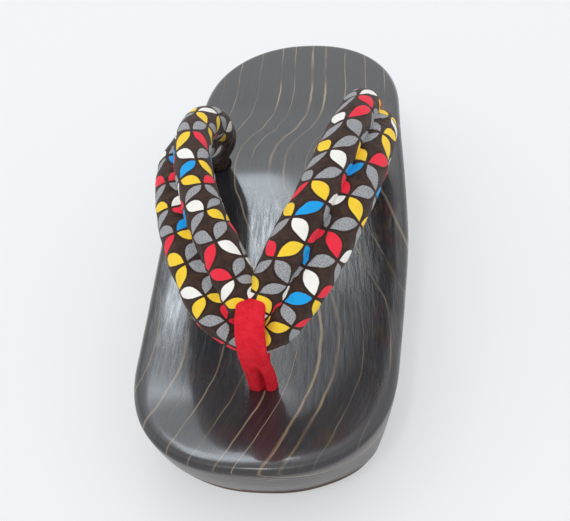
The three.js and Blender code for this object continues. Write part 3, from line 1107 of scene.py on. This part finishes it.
class GETA_OT_strap(bpy.types.Operator):
    """Build the padded V strap and lay the printed cotton on it"""

    bl_idname = "geta.strap"
    bl_label = "Strap"

    def execute(self, context):
        settings = context.scene.geta_strap
        arms = [
            self.arm("right_arm", RIGHT_ARM, RIGHT_CLOTH, 1, settings, 0.0),
            self.arm("left_arm", LEFT_ARM, LEFT_CLOTH, -1, settings, 40.0),
        ]
        select_only(arms[0])
        for arm in arms:
            arm.select_set(True)
        bpy.ops.object.join()
        strap = settle(bpy.context.object, "cotton_strap")
        finish_piece(strap, printed_cotton(settings), "strap_cotton", "strap", smooth=180)
        return {"FINISHED"}

    def arm(self, name, table, cloth_table, side, settings, seed):
        """One arm of the V as a tube of sections, with the cloth laid on it."""
        rows = numbered(table)
        count = 1200
        middles = [arm_frame(rows, k / count)[0] for k in range(count + 1)]
        mesh = bmesh.new()
        cloth = mesh.loops.layers.uv.new("cloth")
        rings = []
        for reached, left_over, k, u in even_steps(middles, ARM_SLICES):
            lay = {key: along(cloth_table, "run", key, reached) for key in cloth_table[0]}
            at = {"share": (k + u) / count, "reached": reached, "left_over": left_over}
            rings.append(self.slice(mesh, rows, at, lay, side, settings, seed))
        for lower, upper in zip(rings, rings[1:]):
            for j in range(len(lower)):
                ahead = (j + 1) % len(lower)
                corners = [lower[j], lower[ahead], upper[ahead], upper[j]]
                face = mesh.faces.new([point for point, _ in corners])
                roll = j // ROLL_SIDES
                for loop, (_, places) in zip(face.loops, corners):
                    loop[cloth].uv = places[roll]
        for ring in (rings[0], rings[-1]):
            face = mesh.faces.new([point for point, _ in ring])
            for loop in face.loops:
                loop[cloth].uv = (0.0, 0.0)
        arm = piece_of(mesh, name)
        left = arm.data.attributes.new("left_arm", "FLOAT", "POINT")
        left.data.foreach_set("value", [float(side < 0)] * len(arm.data.vertices))
        return arm

    def slice(self, mesh, rows, at, lay, side, settings, seed):
        """The points around one section, each with its place on the cloth by roll."""
        middle, pair, up, row = arm_frame(rows, at["share"])
        reached = at["reached"]
        half, radius = row["apart"] / 2, row["radius"]
        meet = math.acos(min(half / radius, 0.98))
        around = 2 * (math.pi - meet)
        near_loop = math.exp(-max(reached - LOOP_FOLDS["start"], 0) / LOOP_FOLDS["reach"])
        near_hole = smooth_share(-NECK_FOLDS["start"], -NECK_FOLDS["full"], -at["left_over"])
        made = []
        for roll, sign in enumerate((1, -1)):
            for j in range(ROLL_SIDES):
                angle = meet - math.pi + around * j / ROLL_SIDES
                turned = angle if roll == 0 else angle + math.pi
                from_crease = (math.pi - meet - abs(angle)) * radius
                v = (around / 2 - angle if roll == 0 else -(around / 2 + angle)) * CLOTH_ROUND
                gather = math.exp(-from_crease / GATHERS["reach"]) * settings.pucker / MM
                wander = noise.noise((reached * 0.11, seed, roll * 3.0)) * 7
                wave = math.sin(reached * GATHERS["apart"] + wander + v * 0.25)
                bunch = noise.noise((reached * 0.05, v * 0.26, seed + roll * 5.0))
                twist = noise.noise((reached * 0.1, angle, seed)) * 5
                neck = math.sin(angle * NECK_FOLDS["count"] + twist)
                spot = Vector((reached * 0.16 + seed, v * 0.13, roll * 9.0))
                out = (
                    radius
                    + noise.noise(spot) * STUFFING["broad"]
                    + noise.noise(spot * 2.6) * STUFFING["fine"]
                    + gather * (wave * GATHERS["depth"] - GATHERS["sunk"])
                    + bunch * near_loop * LOOP_FOLDS["depth"]
                    + neck * near_hole * NECK_FOLDS["depth"]
                )
                flat = sign * half + out * math.cos(turned)
                if flat * sign < 0:
                    flat = 0.0
                point = middle + pair * flat + up * (out * math.sin(turned))
                place = Vector((side * point.x, point.y, point.z)) * MM
                made.append((mesh.verts.new(place), {roll: self.lay(lay, v)}))
        # the first point of each roll also closes the other one
        made[0][1][1] = self.lay(lay, -around * CLOTH_ROUND)
        made[ROLL_SIDES][1][0] = self.lay(lay, 0.0)
        return made

    def lay(self, at, v):
        """Place on the cloth, in cells, from the distance around a roll from the crease."""
        if v < at["inner"] - CELL_ROWS["inner"]:
            t = -1 + (v - at["inner"] + CELL_ROWS["inner"]) / CELL_ROWS["far"]
        elif v < at["inner"]:
            t = (v - at["inner"]) / CELL_ROWS["inner"]
        elif v < at["outer"]:
            t = (v - at["inner"]) / (at["outer"] - at["inner"])
        else:
            t = 1 + (v - at["outer"]) / CELL_ROWS["outer"]
        back = min(max(1 - t, 0), 2.5) / 2
        return at["cell"] + at["lean"] * back * back, t


class GETA_OT_toe_loop(bpy.types.Operator):
    """Build the felted loop that holds the strap's joint down"""

    bl_idname = "geta.toe_loop"
    bl_label = "Toe loop"

    def execute(self, context):
        settings = context.scene.geta_loop
        rows = numbered(TOE_LOOP)
        mesh = bmesh.new()
        rings = []
        for i in range(LOOP_SLICES + 1):
            share = i / LOOP_SLICES
            rings.append(self.slice(mesh, rows, share, settings))
        for lower, upper in zip(rings, rings[1:]):
            for j in range(LOOP_SIDES):
                k = (j + 1) % LOOP_SIDES
                mesh.faces.new((lower[j], lower[k], upper[k], upper[j]))
        mesh.faces.new(rings[0][::-1])
        mesh.faces.new(rings[-1])
        loop = piece_of(mesh, "felt_toe_loop")
        finish_piece(loop, red_felt(settings), "loop_felt", "toe_loop", smooth=180)
        return {"FINISHED"}

    def slice(self, mesh, rows, share, settings):
        at = {key: along(rows, "share", key, share) for key in TOE_LOOP[0]}
        behind, ahead = (
            Vector([along(rows, "share", key, beside) for key in ("y", "z")])
            for beside in (max(share - 0.005, 0.0), min(share + 0.005, 1.0))
        )
        run = (ahead - behind).normalized()
        out = Vector((0, run.y, -run.x))
        fold = 1 - smooth_share(LOOP_CREASE["full"], LOOP_CREASE["gone"], share)
        fold *= settings.crease / MM
        ring = []
        for k in range(LOOP_SIDES):
            angle = 2 * math.pi * (k + 0.5) / LOOP_SIDES
            c, s = math.cos(angle), math.sin(angle)
            u = at["width"] / 2 * math.copysign(abs(c) ** LOOP_SQUARE["across"], c)
            w = at["thick"] / 2 * math.copysign(abs(s) ** LOOP_SQUARE["through"], s)
            spot = Vector((u * 0.3, share * 22, w * 0.3))
            soft = 1 + noise.noise(spot) * 0.05 + noise.noise(spot * 9) * 0.02
            from_crease = (u - LOOP_CREASE["x"]) / LOOP_CREASE["half"]
            dent = fold * math.exp(-(from_crease**2)) if w < 0 else 0.0
            point = Vector((at["x"] + u * soft, at["y"], at["z"])) + out * (w * soft + dent)
            ring.append(mesh.verts.new(point * MM))
        return ring


class GETA_OT_stage(bpy.types.Operator):
    """Set the pale floor, the soft lights and the camera"""

    bl_idname = "geta.stage"
    bl_label = "Stage"

    def execute(self, context):
        settings = context.scene.geta_stage
        self.floor(settings)
        self.surroundings(context)
        self.lights(context)
        self.camera(context, settings)
        return {"FINISHED"}

    def floor(self, settings):
        clear_selection()
        bpy.ops.mesh.primitive_plane_add(size=6.0, location=(0, 0, -0.0002))
        floor = settle(bpy.context.object, "pale_floor")
        paint = Paint("pale_floor")
        floor.data.materials.append(
            paint.surface(
                Base_Color=tuple(settings.floor),
                Roughness=0.7,
                Specular_IOR_Level=0.1,
                Emission_Color=(0.98, 0.99, 1.0, 1.0),
                Emission_Strength=0.38,
            )
        )

    def surroundings(self, context):
        world = bpy.data.worlds.new("pale_surroundings")
        world.use_nodes = True
        sky = world.node_tree.nodes["Background"]
        sky.inputs["Color"].default_value = SURROUNDINGS["colour"]
        sky.inputs["Strength"].default_value = SURROUNDINGS["strength"]
        context.scene.world = world
        context.scene.view_settings.view_transform = "Standard"

    def lights(self, context):
        for row in LIGHTS:
            lamp = bpy.data.lights.new(row["name"], "AREA")
            lamp.shape = "RECTANGLE"
            lamp.size, lamp.size_y = row["wide"], row["tall"]
            lamp.energy = row["power"]
            lamp.color = row["tint"]
            light = bpy.data.objects.new(row["name"], lamp)
            light.location = row["place"]
            direction = Vector(row["aim"]) - Vector(row["place"])
            light.rotation_euler = direction.to_track_quat("-Z", "Y").to_euler()
            context.scene.collection.objects.link(light)

    def camera(self, context, settings):
        data = bpy.data.cameras.new("camera")
        data.lens = settings.lens
        data.sensor_width = 36.0
        data.clip_start = 0.01
        camera = bpy.data.objects.new("camera", data)
        camera.location = CAMERA["place"]
        camera.rotation_euler = [math.radians(angle) for angle in CAMERA["turn"]]
        context.scene.collection.objects.link(camera)
        context.scene.camera = camera


class VIEW3D_PT_geta(bpy.types.Panel):
    """The steps that build the sandal"""

    bl_label = "Geta Sandal"
    bl_space_type = "VIEW_3D"
    bl_region_type = "UI"
    bl_category = "Geta"

    def draw(self, context):
        for step in STEPS:
            self.layout.operator(step.bl_idname)


STEPS = (GETA_OT_stage, GETA_OT_platform, GETA_OT_rubbers, GETA_OT_strap, GETA_OT_toe_loop)
SETTINGS = {
    "geta_wood": GetaWoodSettings,
    "geta_strap": GetaStrapSettings,
    "geta_loop": GetaLoopSettings,
    "geta_stage": GetaStageSettings,
}


def register():
    for part in (*SETTINGS.values(), *STEPS, VIEW3D_PT_geta):
        bpy.utils.register_class(part)
    for name, group in SETTINGS.items():
        setattr(bpy.types.Scene, name, bpy.props.PointerProperty(type=group))


def unregister():
    for name in SETTINGS:
        delattr(bpy.types.Scene, name)
    for part in (VIEW3D_PT_geta, *reversed(STEPS), *reversed(SETTINGS.values())):
        bpy.utils.unregister_class(part)


def main():
    register()
    bpy.ops.geta.stage()
    bpy.ops.geta.platform()
    bpy.ops.geta.rubbers()
    bpy.ops.geta.strap()
    bpy.ops.geta.toe_loop()


if __name__ == "__main__":
    main()
